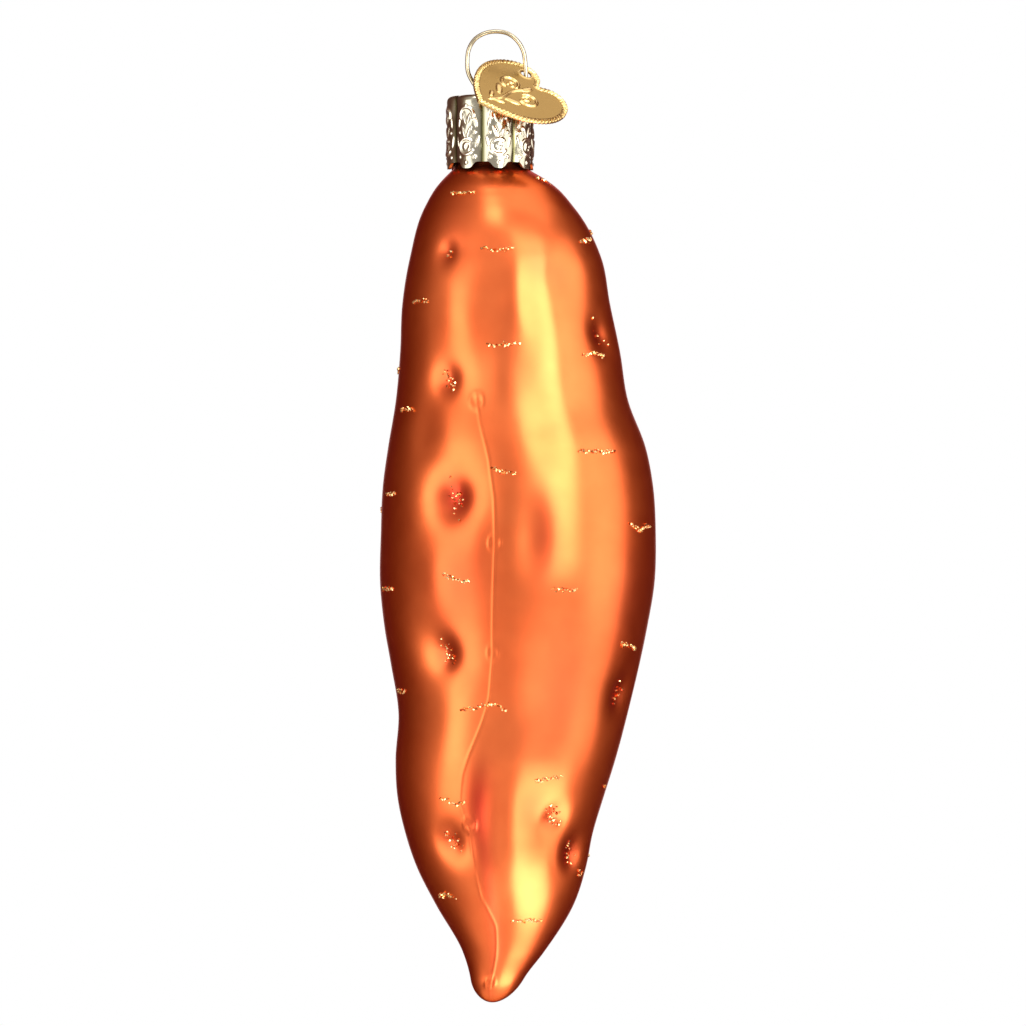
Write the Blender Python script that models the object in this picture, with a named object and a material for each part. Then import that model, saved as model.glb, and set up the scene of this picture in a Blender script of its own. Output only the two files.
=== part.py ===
"""A hanging ornament of blown glass, shaped like a sweet potato.

Run with: blender --background --python part.py

Units are metres and +Z is up. The front is -Y. The origin is the hanging point: the inside of the top
of the wire loop. The glass is one hollow shell with an open neck. A stamped cap goes over the neck. One
bent wire makes the hanging loop and the two legs that go down through the cap into the neck. A stamped
heart tag is threaded on the loop.
"""

import math

import bmesh
import bpy
import numpy as np
from mathutils import Matrix, Vector

# The glass body.
GLASS_WALL = 0.0010
NECK_X = -0.0009  # the cap and the neck share this axis
NECK_TOP_Z = -0.0104
SHOULDER_TOP_Z = -0.0172
SHOULDER_END_Z = -0.0225
TIP_Z = -0.1356
TIP_ROUND = 0.0032  # the length over which the tip closes
HOLLOW_END = 0.0040  # how far above the tip the hollow ends
DEPTH_SHARE = 0.93  # front-to-back size over side-to-side size, below the neck
GLASS_SIDES = 48
NECK_ROWS = 3
SHOULDER_ROWS = 8
BELLY_ROWS = 34
TIP_ROWS = 7

# The body's left and right edges, seen from the front: (z, left x, right x).
BODY_EDGES = (
    (-0.1362, -0.0034, 0.0020),
    (-0.1320, -0.0037, 0.0040),
    (-0.1286, -0.0047, 0.0066),
    (-0.1219, -0.0085, 0.0108),
    (-0.1168, -0.0111, 0.0125),
    (-0.1118, -0.0128, 0.0135),
    (-0.1068, -0.0139, 0.0150),
    (-0.1017, -0.0142, 0.0166),
    (-0.0950, -0.0138, 0.0184),
    (-0.0883, -0.0148, 0.0200),
    (-0.0830, -0.0157, 0.0211),
    (-0.0770, -0.0163, 0.0221),
    (-0.0700, -0.0162, 0.0223),
    (-0.0631, -0.0159, 0.0219),
    (-0.0580, -0.0152, 0.0209),
    (-0.0513, -0.0141, 0.0184),
    (-0.0446, -0.0135, 0.0173),
    (-0.0379, -0.0132, 0.0159),
    (-0.0312, -0.0121, 0.0146),
    (-0.0244, -0.0101, 0.0109),
    (-0.0211, -0.0081, 0.0077),
    (-0.0202, -0.0073, 0.0063),
    (-0.0195, -0.0065, 0.0048),
    (-0.0188, -0.0058, 0.0040),
    (-0.0178, -0.0056, 0.0038),
    (-0.0165, -0.0055, 0.0037),
    (-0.0100, -0.0055, 0.0037),
)

# Low swells and hollows of the surface: (z, degrees round from the front towards +X, length, degrees
# wide, height). A negative height is a hollow.
SWELLS = (
    (-0.0450, 3, 0.0110, 9, -0.0007),
    (-0.0685, 5, 0.0070, 9, -0.0007),
    (-0.1090, -8, 0.0090, 10, -0.0008),
    (-0.1270, -8, 0.0060, 16, -0.0006),
    (-0.0340, 33, 0.0030, 10, -0.0004),
    (-0.0480, -34, 0.0022, 9, -0.0006),
    (-0.0649, -29, 0.0028, 9, -0.0011),
    (-0.0866, -34, 0.0024, 8, -0.0008),
    (-0.1126, -31, 0.0022, 10, -0.0006),
    (-0.1093, 34, 0.0022, 10, -0.0006),
    (-0.1143, 57, 0.0024, 11, -0.0009),
    (-0.0424, 59, 0.0024, 10, -0.0005),
    (-0.0923, 66, 0.0026, 9, -0.0007),
    (-0.0560, 178, 0.0120, 12, -0.0007),
    (-0.1020, 188, 0.0130, 13, -0.0007),
    (-0.0400, 146, 0.0026, 9, -0.0007),
    (-0.0720, 212, 0.0028, 9, -0.0010),
    (-0.0790, 140, 0.0026, 9, -0.0008),
    (-0.0960, 232, 0.0024, 9, -0.0007),
    (-0.1130, 152, 0.0024, 10, -0.0007),
)

# The stamped cap.
CAP_RADIUS = 0.0061
CAP_SHEET = 0.00035
CAP_TOP_Z = -0.0088
CAP_CORNER = 0.0008
CAP_SKIRT_Z = -0.0182  # the rim where two panels meet
SCALLOP_DEPTH = 0.0009
CAP_PANELS = 8
FIRST_PANEL_ANGLE = 12.0  # degrees round from the front to the middle of one panel
GROOVE_DEPTH = 0.00042
STEPS_PER_PANEL = 6
WIRE_HOLE_RADIUS = 0.00065
WIRE_HOLE_SPACING = 0.00270
HOLE_SIDES = 16
CUTTER_LENGTH = 0.0028

# The hanger wire.
WIRE_RADIUS = 0.0003
WIRE_STEP = 0.0008
# Its centre line from one tip round the loop to the other, in the plane y = 0: (x, z).
WIRE_ROUTE = (
    (-0.00405, -0.0185),
    (-0.00385, -0.0160),
    (-0.00310, -0.0127),
    (-0.00245, -0.0104),
    (-0.00225, -0.0091),
    (-0.00250, -0.0080),
    (-0.00325, -0.0069),
    (-0.00395, -0.0055),
    (-0.00410, -0.0038),
    (-0.00385, -0.0021),
    (-0.00295, -0.0007),
    (-0.00150, 0.0001),
    (0.00000, 0.0003),
    (0.00160, 0.0000),
    (0.00290, -0.0010),
    (0.00375, -0.0025),
    (0.00402, -0.0042),
    (0.00410, -0.00574),
    (0.00403, -0.0066),
    (0.00345, -0.0074),
    (0.00245, -0.0078),
    (0.00135, -0.0080),
    (0.00065, -0.0084),
    (0.00045, -0.0091),
    (0.00065, -0.0104),
    (0.00130, -0.0127),
    (0.00205, -0.0160),
    (0.00225, -0.0185),
)

# The heart tag.
TAG_HINGE = Vector((0.00410, 0.0, -0.00574))  # where the wire goes through the tag's hole
TAG_FACE = Vector((0.343, -0.572, 0.744))  # the way its face looks
TAG_POINT = Vector((-0.695, -0.688, -0.208))  # the way its point hangs
TAG_SHEET = 0.00035
TAG_HOLE_RADIUS = 0.00100
TAG_HOLE_X = -0.0030  # from the heart's notch
TAG_HOLE_Y = 0.0002
TAG_EDGE_STEPS = 4
# One half of the heart from its notch round to its point: (x, y), y away from the point.
HEART_HALF = (
    (0.0000, 0.0000),
    (0.0013, 0.0014),
    (0.0032, 0.0019),
    (0.0053, 0.0010),
    (0.0067, -0.0012),
    (0.0070, -0.0041),
    (0.0058, -0.0072),
    (0.0033, -0.0100),
    (0.0000, -0.0121),
)


def clear_scene():
    """Remove whatever the scene holds."""
    for thing in list(bpy.data.objects):
        bpy.data.objects.remove(thing, do_unlink=True)


def make_material(name, colour, metallic, roughness):
    """A Principled material of one colour."""
    material = bpy.data.materials.new(name)
    material.use_nodes = True
    shader = material.node_tree.nodes["Principled BSDF"]
    shader.inputs["Base Color"].default_value = (*colour, 1.0)
    shader.inputs["Metallic"].default_value = metallic
    shader.inputs["Roughness"].default_value = roughness
    material.diffuse_color = (*colour, 1.0)
    return material


def add_mesh(name, points, faces, material):
    """A mesh object of these points and faces, its faces turned outwards."""
    mesh = bpy.data.meshes.new(name)
    mesh.from_pydata([tuple(point) for point in points], [], faces)
    work = bmesh.new()
    work.from_mesh(mesh)
    bmesh.ops.recalc_face_normals(work, faces=work.faces)
    work.to_mesh(mesh)
    work.free()
    mesh.shade_smooth()
    mesh.set_sharp_from_angle(angle=math.radians(40))
    mesh.materials.append(material)
    thing = bpy.data.objects.new(name, mesh)
    bpy.context.scene.collection.objects.link(thing)
    return thing


def smooth_curve(knots, values, places):
    """The values at these places of a smooth curve through the values at rising knots."""
    knots = np.asarray(knots, float)
    values = np.asarray(values, float)
    slopes = np.gradient(values, knots, axis=0)
    index = np.clip(np.searchsorted(knots, places) - 1, 0, len(knots) - 2)
    span = knots[index + 1] - knots[index]
    t = (places - knots[index]) / span
    start = (2 * t**3 - 3 * t**2 + 1) * values[index]
    end = (3 * t**2 - 2 * t**3) * values[index + 1]
    bend_out = (t**3 - 2 * t**2 + t) * span * slopes[index]
    bend_in = (t**3 - t**2) * span * slopes[index + 1]
    return start + end + bend_out + bend_in


def route_through(points, step):
    """Points about a step apart on a smooth curve through the given points."""
    points = np.asarray(points, float)
    lengths = np.linalg.norm(np.diff(points, axis=0), axis=1)
    knots = np.concatenate([[0.0], np.cumsum(lengths)])
    places = np.linspace(0.0, knots[-1], round(knots[-1] / step) + 1)
    columns = [smooth_curve(knots, points[:, axis], places) for axis in range(points.shape[1])]
    return np.stack(columns, axis=1)


def band_faces(first_ring, second_ring, sides):
    """Quads between two rings of points, each given by the index of its first point."""
    faces = []
    for side in range(sides):
        after = (side + 1) % sides
        faces.append((first_ring + side, first_ring + after, second_ring + after, second_ring + side))
    return faces


def fan_faces(ring, middle, sides):
    """Triangles from a ring of points to one point."""
    return [(ring + side, ring + (side + 1) % sides, middle) for side in range(sides)]


# ---- the glass body ----


def body_heights():
    """The heights of the rings of points down the glass, closest together at the shoulder and the tip."""
    neck = np.linspace(NECK_TOP_Z, SHOULDER_TOP_Z, NECK_ROWS, endpoint=False)
    shoulder = np.linspace(SHOULDER_TOP_Z, SHOULDER_END_Z, SHOULDER_ROWS, endpoint=False)
    tip_start = TIP_Z + TIP_ROUND
    belly = np.linspace(SHOULDER_END_Z, tip_start, BELLY_ROWS, endpoint=False)
    turn = np.linspace(0.0, math.pi / 2, TIP_ROWS, endpoint=False)
    tip = tip_start - TIP_ROUND * np.sin(turn)
    return np.concatenate([neck, shoulder, belly, tip])


def swell_height(height, angle):
    """How far the surface stands out at one height and angle, from all the swells and hollows."""
    total = 0.0
    for swell_z, swell_angle, length, width, rise in SWELLS:
        turn = (angle - swell_angle + 180.0) % 360.0 - 180.0
        total += rise * math.exp(-(((height - swell_z) / length) ** 2) - (turn / width) ** 2)
    return total


def body_ring(height):
    """One ring of points round the outside of the glass."""
    knots, left, right = np.array(BODY_EDGES).T
    left_x = smooth_curve(knots, left, height)
    right_x = smooth_curve(knots, right, height)
    middle_x = (left_x + right_x) / 2
    half_width = (right_x - left_x) / 2
    past_round = max(0.0, (TIP_Z + TIP_ROUND - height) / TIP_ROUND)
    closing = math.sqrt(max(0.0, 1.0 - past_round**2))
    below_neck = np.clip((SHOULDER_TOP_Z - height) / (SHOULDER_TOP_Z - SHOULDER_END_Z), 0.0, 1.0)
    depth = half_width * (1.0 - (1.0 - DEPTH_SHARE) * below_neck)
    ring = []
    for side in range(GLASS_SIDES):
        angle = 2 * math.pi * side / GLASS_SIDES
        rise = swell_height(height, math.degrees(angle)) * closing * below_neck
        out_x = (half_width * closing + rise) * math.sin(angle)
        out_y = (depth * closing + rise) * math.cos(angle)
        ring.append((middle_x + out_x, -out_y, height))
    return ring


def outward_directions(grid):
    """The outward direction of the surface at each point of a grid of rings."""
    down = np.gradient(grid, axis=0)
    wrapped = np.concatenate([grid[:, -1:], grid, grid[:, :1]], axis=1)
    across = np.gradient(wrapped, axis=1)[:, 1:-1]
    outward = np.cross(down, across)
    return outward / np.linalg.norm(outward, axis=2, keepdims=True)


def make_glass_body(material):
    """The hollow glass: an outer skin down to the tip, an inner skin, and a flat lip at the open neck."""
    heights = body_heights()
    outer = np.array([body_ring(height) for height in heights])
    inner_rows = [row for row in range(0, len(heights), 2) if heights[row] > TIP_Z + HOLLOW_END]
    inner = (outer - GLASS_WALL * outward_directions(outer))[inner_rows]
    inner[0, :, 2] = NECK_TOP_Z
    points = [*outer.reshape(-1, 3), *inner.reshape(-1, 3)]
    tip = len(points)
    points.append((outer[-1, :, 0].mean(), 0.0, TIP_Z))
    points.append((inner[-1, :, 0].mean(), 0.0, inner[-1, :, 2].mean() - GLASS_WALL / 2))
    inner_start = len(heights) * GLASS_SIDES
    faces = []
    for row in range(len(heights) - 1):
        faces += band_faces(row * GLASS_SIDES, (row + 1) * GLASS_SIDES, GLASS_SIDES)
    for row in range(len(inner_rows) - 1):
        first = inner_start + row * GLASS_SIDES
        faces += band_faces(first, first + GLASS_SIDES, GLASS_SIDES)
    faces += band_faces(0, inner_start, GLASS_SIDES)
    faces += fan_faces(inner_start - GLASS_SIDES, tip, GLASS_SIDES)
    faces += fan_faces(tip - GLASS_SIDES, tip + 1, GLASS_SIDES)
    return add_mesh("glass_body", points, faces, material)


# ---- the cap ----


def panel_share(angle):
    """1 in the middle of a cap panel and 0 in the groove between two, at an angle in degrees."""
    turn = math.radians((angle - FIRST_PANEL_ANGLE) * CAP_PANELS / 2)
    return abs(math.cos(turn))


def cap_ring(radius, height, scalloped):
    """One ring of points round the cap, which follows the scallops where asked."""
    sides = CAP_PANELS * STEPS_PER_PANEL
    ring = []
    for side in range(sides):
        degrees = FIRST_PANEL_ANGLE + 360.0 * side / sides
        share = panel_share(degrees)
        in_groove = GROOVE_DEPTH * (1.0 - share) * radius / CAP_RADIUS
        angle = math.radians(degrees)
        drop = SCALLOP_DEPTH * share**2 if scalloped else 0.0
        reach = radius - in_groove
        ring.append((NECK_X + reach * math.sin(angle), -reach * math.cos(angle), height - drop))
    return ring


def cap_skin(inset):
    """The rings of one skin of the cap from its top down to its rim, set in by the given amount."""
    corner = CAP_CORNER - inset / 2
    radius = CAP_RADIUS - inset
    top = CAP_TOP_Z - inset
    rings = [cap_ring(radius / 2, top, False)]
    for degrees in (0, 30, 60, 90):
        turn = math.radians(degrees)
        turned_radius = radius - corner * (1 - math.sin(turn))
        rings.append(cap_ring(turned_radius, top - corner * (1 - math.cos(turn)), False))
    rings.append(cap_ring(radius, (top + CAP_SKIRT_Z) / 2, False))
    rings.append(cap_ring(radius, CAP_SKIRT_Z, True))
    return rings


def make_cap(material):
    """The cap's thin sheet: lobed sides, a scalloped rim, and a flat top with two holes for the wire."""
    sides = CAP_PANELS * STEPS_PER_PANEL
    outer = cap_skin(0.0)
    inner = cap_skin(CAP_SHEET)
    points = [point for ring in outer + inner for point in ring]
    inner_start = len(outer) * sides
    faces = []
    for row in range(len(outer) - 1):
        faces += band_faces(row * sides, (row + 1) * sides, sides)
        faces += band_faces(inner_start + row * sides, inner_start + (row + 1) * sides, sides)
    faces += band_faces(inner_start - sides, len(points) - sides, sides)
    faces += fan_faces(0, len(points), sides)
    faces += fan_faces(inner_start, len(points) + 1, sides)
    points.append((NECK_X, 0.0, CAP_TOP_Z))
    points.append((NECK_X, 0.0, CAP_TOP_Z - CAP_SHEET))
    cap = add_mesh("cap", points, faces, material)
    for side in (-1, 1):
        middle_x = NECK_X + side * WIRE_HOLE_SPACING / 2
        cut_hole(cap, (middle_x, 0.0, CAP_TOP_Z), WIRE_HOLE_RADIUS)
    return cap


def cut_hole(thing, middle, radius):
    """Cut a round hole along Z through the sheet at middle, with a hidden cutter."""
    mesh = bpy.data.meshes.new(thing.name + "_cutter")
    work = bmesh.new()
    bmesh.ops.create_cone(
        work, cap_ends=True, segments=HOLE_SIDES, radius1=radius, radius2=radius, depth=CUTTER_LENGTH
    )
    work.to_mesh(mesh)
    work.free()
    cutter = bpy.data.objects.new(mesh.name, mesh)
    bpy.context.scene.collection.objects.link(cutter)
    cutter.location = middle
    cutter.hide_render = True
    cutter.display_type = "WIRE"
    boolean = thing.modifiers.new("hole", "BOOLEAN")
    boolean.operation = "DIFFERENCE"
    boolean.solver = "EXACT"
    boolean.object = cutter
    return cutter


# ---- the hanger wire ----


def make_hanger_wire(material):
    """The bent wire: a round section along the route, with closed ends."""
    route = route_through(WIRE_ROUTE, WIRE_STEP)
    curve = bpy.data.curves.new("hanger_wire", "CURVE")
    curve.dimensions = "3D"
    curve.bevel_depth = WIRE_RADIUS
    curve.bevel_resolution = 2
    curve.use_fill_caps = True
    spline = curve.splines.new("POLY")
    spline.points.add(len(route) - 1)
    for point, (x, z) in zip(spline.points, route):
        point.co = (x, 0.0, z, 1.0)
    curve.materials.append(material)
    wire = bpy.data.objects.new("hanger_wire", curve)
    bpy.context.scene.collection.objects.link(wire)
    return wire


# ---- the heart tag ----


def heart_outline():
    """The heart's outline from its notch down one side to the point and up the other."""
    segments = len(HEART_HALF) - 1
    places = np.linspace(0.0, segments, segments * TAG_EDGE_STEPS + 1)
    columns = np.array(HEART_HALF).T
    half = np.stack([smooth_curve(range(segments + 1), column, places) for column in columns], axis=1)
    other_half = half[-2:0:-1] * (-1.0, 1.0)
    return np.concatenate([half, other_half])


def make_heart_tag(material):
    """The heart of thin sheet, its own origin in its hole, where it turns on the wire."""
    outline = heart_outline() - (TAG_HOLE_X, TAG_HOLE_Y)
    count = len(outline)
    points = []
    for level in (TAG_SHEET / 2, -TAG_SHEET / 2):
        points += [(x, y, level) for x, y in outline]
    faces = [tuple(range(count)), tuple(range(2 * count - 1, count - 1, -1))]
    faces += band_faces(0, count, count)
    tag = add_mesh("heart_tag", points, faces, material)
    across = -TAG_POINT.cross(TAG_FACE).normalized()
    upward = TAG_FACE.normalized().cross(across)
    turn = Matrix((across, upward, TAG_FACE.normalized())).transposed()
    tag.matrix_world = Matrix.Translation(TAG_HINGE) @ turn.to_4x4()
    cutter = cut_hole(tag, (0.0, 0.0, 0.0), TAG_HOLE_RADIUS)
    cutter.parent = tag
    return tag


def main():
    clear_scene()
    lacquer = make_material("orange_lacquer", (0.80, 0.17, 0.035), 1.0, 0.32)
    stamped = make_material("stamped_cap_metal", (0.62, 0.58, 0.47), 1.0, 0.22)
    wire = make_material("wire_metal", (0.66, 0.60, 0.46), 1.0, 0.25)
    brass = make_material("tag_brass", (0.62, 0.38, 0.12), 1.0, 0.35)
    make_glass_body(lacquer)
    make_cap(stamped)
    make_hanger_wire(wire)
    make_heart_tag(brass)


main()
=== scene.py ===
"""The looks of the blown-glass sweet potato ornament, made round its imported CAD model.

Units are metres, +Z is up and the front is -Y. The origin is the inside of the top of the wire loop.
Angles round the glass and the cap are degrees from the front towards +X.
"""

import math

import bmesh
import bpy
import numpy as np
from mathutils import Euler, Matrix, Vector
from mathutils.geometry import delaunay_2d_cdt


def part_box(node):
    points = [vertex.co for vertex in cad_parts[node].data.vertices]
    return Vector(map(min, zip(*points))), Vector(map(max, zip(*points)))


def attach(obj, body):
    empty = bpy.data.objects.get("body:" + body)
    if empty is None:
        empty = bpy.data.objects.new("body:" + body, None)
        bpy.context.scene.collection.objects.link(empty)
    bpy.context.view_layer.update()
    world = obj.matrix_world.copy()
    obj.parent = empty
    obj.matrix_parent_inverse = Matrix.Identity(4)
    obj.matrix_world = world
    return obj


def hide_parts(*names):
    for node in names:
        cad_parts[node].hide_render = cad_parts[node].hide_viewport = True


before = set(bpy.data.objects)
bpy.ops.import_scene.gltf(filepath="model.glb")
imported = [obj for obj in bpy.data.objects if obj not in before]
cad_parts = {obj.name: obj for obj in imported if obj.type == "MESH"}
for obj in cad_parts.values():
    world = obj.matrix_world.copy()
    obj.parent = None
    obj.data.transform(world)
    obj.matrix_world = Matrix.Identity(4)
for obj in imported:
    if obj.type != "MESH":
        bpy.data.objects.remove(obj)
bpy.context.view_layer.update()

# ---- sizes ----

NECK_X = -0.0009  # the axis shared by the neck and the cap
SHARP_ANGLE = math.radians(50)  # an edge bent more than this stays sharp

# The glass body.
GLASS_TOP_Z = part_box("glass_body")[1].z
TIP_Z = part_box("glass_body")[0].z
SHOULDER_TOP_Z = -0.0172
SHOULDER_END_Z = -0.0225
TIP_ROUND = 0.0032  # the height over which the tip closes
DEPTH_SHARE = 0.93  # its depth from front to back, for one of its width
GLASS_WALL = 0.0010
HOLLOW_END = 0.0040  # the hollow stops this far above the tip
PROBE_STEP = 0.0002  # between the points that give the glass's direction at a place
TYPICAL_RADIUS = 0.015  # of the glass
LEAST_HALF_WIDTH = 0.004  # a grain's offset is turned round the glass at no less than this radius
GLASS_COLUMNS = 300
NECK_ROWS = 6
SHOULDER_ROWS = 22
BELLY_ROWS = 262
TIP_ROWS = 14
INNER_ROW_STEP = 12  # the inside has one row for this many of the outside's
SEAM_CROWDING = 3.0  # how much closer together the columns stand near the seam
BACK_CROWDING = 0.5  # the same at the back seam, for one of the front's
SEAM_CROWD_WIDTH = 9  # degrees
SEAM_MIDDLE = -13  # degrees
ANGLE_SAMPLES = 3601  # angles tried round the glass when its columns are placed

# The body's left and right edges, seen from the front: (z, left x, right x). Most of them were
# measured on the photograph's outline.
BODY_EDGES = np.array((
    (-0.1362, -0.0034, 0.0020),
    (-0.1320, -0.0037, 0.0040),
    (-0.1286, -0.0047, 0.0066),
    (-0.1219, -0.0085, 0.0108),
    (-0.1168, -0.0111, 0.0125),
    (-0.1118, -0.0128, 0.0135),
    (-0.1068, -0.0139, 0.0150),
    (-0.1017, -0.0142, 0.0166),
    (-0.0950, -0.0138, 0.0184),
    (-0.0883, -0.0148, 0.0200),
    (-0.0830, -0.0157, 0.0211),
    (-0.0770, -0.0163, 0.0221),
    (-0.0700, -0.0162, 0.0223),
    (-0.0631, -0.0159, 0.0219),
    (-0.0580, -0.0152, 0.0209),
    (-0.0513, -0.0141, 0.0184),
    (-0.0446, -0.0135, 0.0173),
    (-0.0379, -0.0132, 0.0159),
    (-0.0312, -0.0121, 0.0146),
    (-0.0244, -0.0101, 0.0109),
    (-0.0211, -0.0081, 0.0078),
    (-0.0202, -0.0073, 0.0065),
    (-0.0195, -0.0066, 0.0053),
    (-0.0188, -0.0059, 0.0042),
    (-0.0178, -0.0056, 0.0038),
    (-0.0165, -0.0055, 0.0037),
    (-0.0100, -0.0055, 0.0037),
))

# Broad swells and hollows: (z, angle, length, degrees wide, height, lean). A negative height is a
# hollow, and lean is how many degrees it moves round for each metre down.
SWELLS = (
    (-0.0260, -4, 0.0040, 16, 0.0003, 0),
    (-0.0375, 5, 0.0060, 7, 0.0003, 0),
    (-0.0480, -3, 0.0090, 8, 0.0002, 0),
    (-0.0400, 24, 0.0140, 12, 0.0003, -150),
    (-0.0400, -26, 0.0065, 11, 0.0003, 0),
    (-0.0560, 14, 0.0050, 9, -0.0003, 0),
    (-0.0705, 5, 0.0055, 8, -0.0004, 0),
    (-0.0755, -34, 0.0040, 9, 0.0003, 0),
    (-0.0560, -46, 0.0050, 11, -0.0004, 0),
    (-0.0710, -10, 0.0060, 7, -0.0002, 0),
    (-0.0850, -42, 0.0045, 13, -0.0005, 0),
    (-0.0960, -29, 0.0070, 11, 0.0003, 0),
    (-0.0880, 26, 0.0090, 20, -0.0002, 0),
    (-0.1085, -4, 0.0085, 9, -0.0005, 0),
    (-0.1070, 18, 0.0040, 12, -0.0002, 0),
    (-0.1240, -4, 0.0060, 12, -0.0004, 0),
    (-0.0560, 178, 0.0120, 12, -0.0005, 0),
    (-0.1020, 188, 0.0130, 12, -0.0005, 0),
    (-0.0760, 205, 0.0120, 14, 0.0004, 0),
    (-0.0420, 207, 0.0100, 13, 0.0004, 0),
    (-0.0350, 158, 0.0080, 12, 0.0003, 0),
    (-0.0880, 160, 0.0090, 13, 0.0004, 0),
    (-0.0640, 118, 0.0080, 16, -0.0005, 0),
    (-0.0980, 250, 0.0080, 16, -0.0005, 0),
)

# Painted crimson shade, where the lacquer is to look redder and darker: (z, angle, length, degrees
# wide, share of the painted shade's colour).
LACQUER_SHADE_SPOTS = (
    (-0.0290, -34, 0.0050, 16, 0.20),
    (-0.0325, 18, 0.0030, 9, 0.28),
    (-0.0430, 1, 0.0090, 6, 0.06),
    (-0.0705, 11, 0.0060, 6, 0.34),
    (-0.0765, -25, 0.0080, 13, 0.36),
    (-0.0790, 58, 0.0080, 13, 0.40),
    (-0.0915, 24, 0.0110, 19, 0.38),
    (-0.0905, -20, 0.0050, 8, 0.14),
    (-0.1080, 18, 0.0030, 8, 0.25),
    (-0.1060, -13, 0.0050, 7, 0.55),
    (-0.1130, -10, 0.0070, 7, 0.55),
    (-0.1215, -11, 0.0045, 7, 0.30),
    (-0.1290, -10, 0.0050, 10, 0.40),
    (-0.1280, 72, 0.0060, 26, 0.40),
    (-0.1280, -88, 0.0060, 26, 0.40),
)
SHADE_UNDER_CAP_DEPTH = 0.0016  # how far down from the neck the painted shade under the cap reaches
SHADE_UNDER_CAP = 0.45  # share of the painted shade's colour at the neck, under the cap
EYE_SHADE_PER_DEPTH = 480.0  # share of the painted shade's colour for each metre of a root eye's depth

# The root eyes, each a narrow pit in a broad hollow: (z, angle, radius, depth, glitter grains).
ROOT_EYES = (
    (-0.0310, -38, 0.0014, 0.0005, 5),
    (-0.0486, -34, 0.0019, 0.0009, 18),
    (-0.0649, -29, 0.0027, 0.0017, 22),
    (-0.0866, -34, 0.0020, 0.0011, 22),
    (-0.1126, -31, 0.0018, 0.0009, 20),
    (-0.1093, 34, 0.0017, 0.0008, 26),
    (-0.1143, 57, 0.0022, 0.0013, 16),
    (-0.0424, 59, 0.0020, 0.0008, 8),
    (-0.0923, 65, 0.0023, 0.0011, 10),
    (-0.0342, 33, 0.0022, 0.0003, 0),
    (-0.0400, 146, 0.0020, 0.0009, 16),
    (-0.0720, 212, 0.0026, 0.0015, 24),
    (-0.0790, 140, 0.0021, 0.0011, 18),
    (-0.0960, 232, 0.0020, 0.0009, 18),
    (-0.1130, 152, 0.0018, 0.0008, 20),
)
EYE_PIT_SHARE = 0.55  # the pit's share of the depth
EYE_HOLLOW = 1.7  # how far the hollow reaches, for one of the pit's radius

# Short dashes of glitter, like the marks on a root: (z, angle, length, degrees of fall to the right).
DASHES = (
    (-0.0227, -32, 0.0038, 0),
    (-0.0206, 62, 0.0022, 20),
    (-0.0292, 64, 0.0040, -5),
    (-0.0307, -4, 0.0046, 0),
    (-0.0377, -55, 0.0038, 0),
    (-0.0439, -3, 0.0048, -4),
    (-0.0451, 49, 0.0050, 0),
    (-0.0527, -63, 0.0040, 0),
    (-0.0614, -6, 0.0036, 12),
    (-0.0586, 38, 0.0066, 0),
    (-0.0645, -69, 0.0038, 0),
    (-0.0691, 58, 0.0034, 18),
    (-0.0691, 66, 0.0034, -14),
    (-0.0776, -71, 0.0044, 0),
    (-0.0761, -26, 0.0040, 18),
    (-0.0776, 20, 0.0040, 0),
    (-0.0856, 62, 0.0048, 12),
    (-0.0919, -71, 0.0034, 0),
    (-0.0939, -20, 0.0036, -10),
    (-0.0936, -9, 0.0030, 12),
    (-0.1038, 25, 0.0040, -10),
    (-0.1070, -27, 0.0038, 8),
    (-0.1203, -51, 0.0036, 0),
    (-0.1237, 20, 0.0048, 0),
    (-0.1052, 76, 0.0014, 0),
    (-0.1174, 73, 0.0014, 0),
)
DASH_WIDTH = 0.00030
DASH_BOW = 0.0002
GRAIN_STEP = 0.00017
GRAIN_JITTER = GRAIN_STEP / 3
GRAIN_RADIUS = (0.00012, 0.00029)
GRAIN_LIFT = 0.25  # how far a grain's middle stands off the lacquer, for one of its radius
FLAKE_REACH = (0.6, 1.25)  # its nearest and farthest corner, for one of its radius
EYE_SPREAD = (0.28, 0.42)  # of the grains in a root eye, across and down, for one of its radius
EYE_SLANT = 0.35  # how far those grains move across for one down
GLITTER_SEED = 7

# The dashes round the back, spread evenly with a little chance.
HIDDEN_DASHES = 26
HIDDEN_TOP_Z = -0.026
HIDDEN_SPAN = 0.098  # from the highest to the lowest
HIDDEN_PLACE = (0.2, 0.8)  # where in its own share of the span a dash may be
HIDDEN_TURN = 67.0  # degrees from one to the next
HIDDEN_ARC = 170.0  # degrees of the back that they cover
HIDDEN_WANDER = 8.0  # degrees
HIDDEN_LENGTH = (0.0028, 0.0050)
HIDDEN_FALL = 12.0  # degrees

# The mould seam: (z, angle) down the front. The back's seam mirrors it.
SEAM = np.array((
    (-0.0500, -18),
    (-0.0548, -16),
    (-0.0596, -12.5),
    (-0.0652, -10.2),
    (-0.0712, -9.7),
    (-0.0866, -10),
    (-0.0926, -12),
    (-0.0965, -15.5),
    (-0.1031, -22),
    (-0.1070, -23),
    (-0.1111, -18),
    (-0.1174, -18),
    (-0.1205, -18),
    (-0.1245, -9.5),
    (-0.1307, -11),
    (-0.1328, -14),
))
SEAM_WIDTH = 0.00020
SEAM_HEIGHT = 0.00005
SEAM_FADE = 0.002  # the seam rises to its full height over this length

# Small ring marks on the seam: (z, angle, radius, height).
SEAM_RINGS = (
    (-0.0516, -17.5, 0.0010, 0.00007),
    (-0.0712, -9.7, 0.0009, 0.00008),
    (-0.0863, -10, 0.0008, 0.00006),
    (-0.1101, -17.5, 0.0009, 0.00010),
    (-0.1328, -14.5, 0.0007, 0.00010),
)
SEAM_RING_WIDTH = 0.00022

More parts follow.
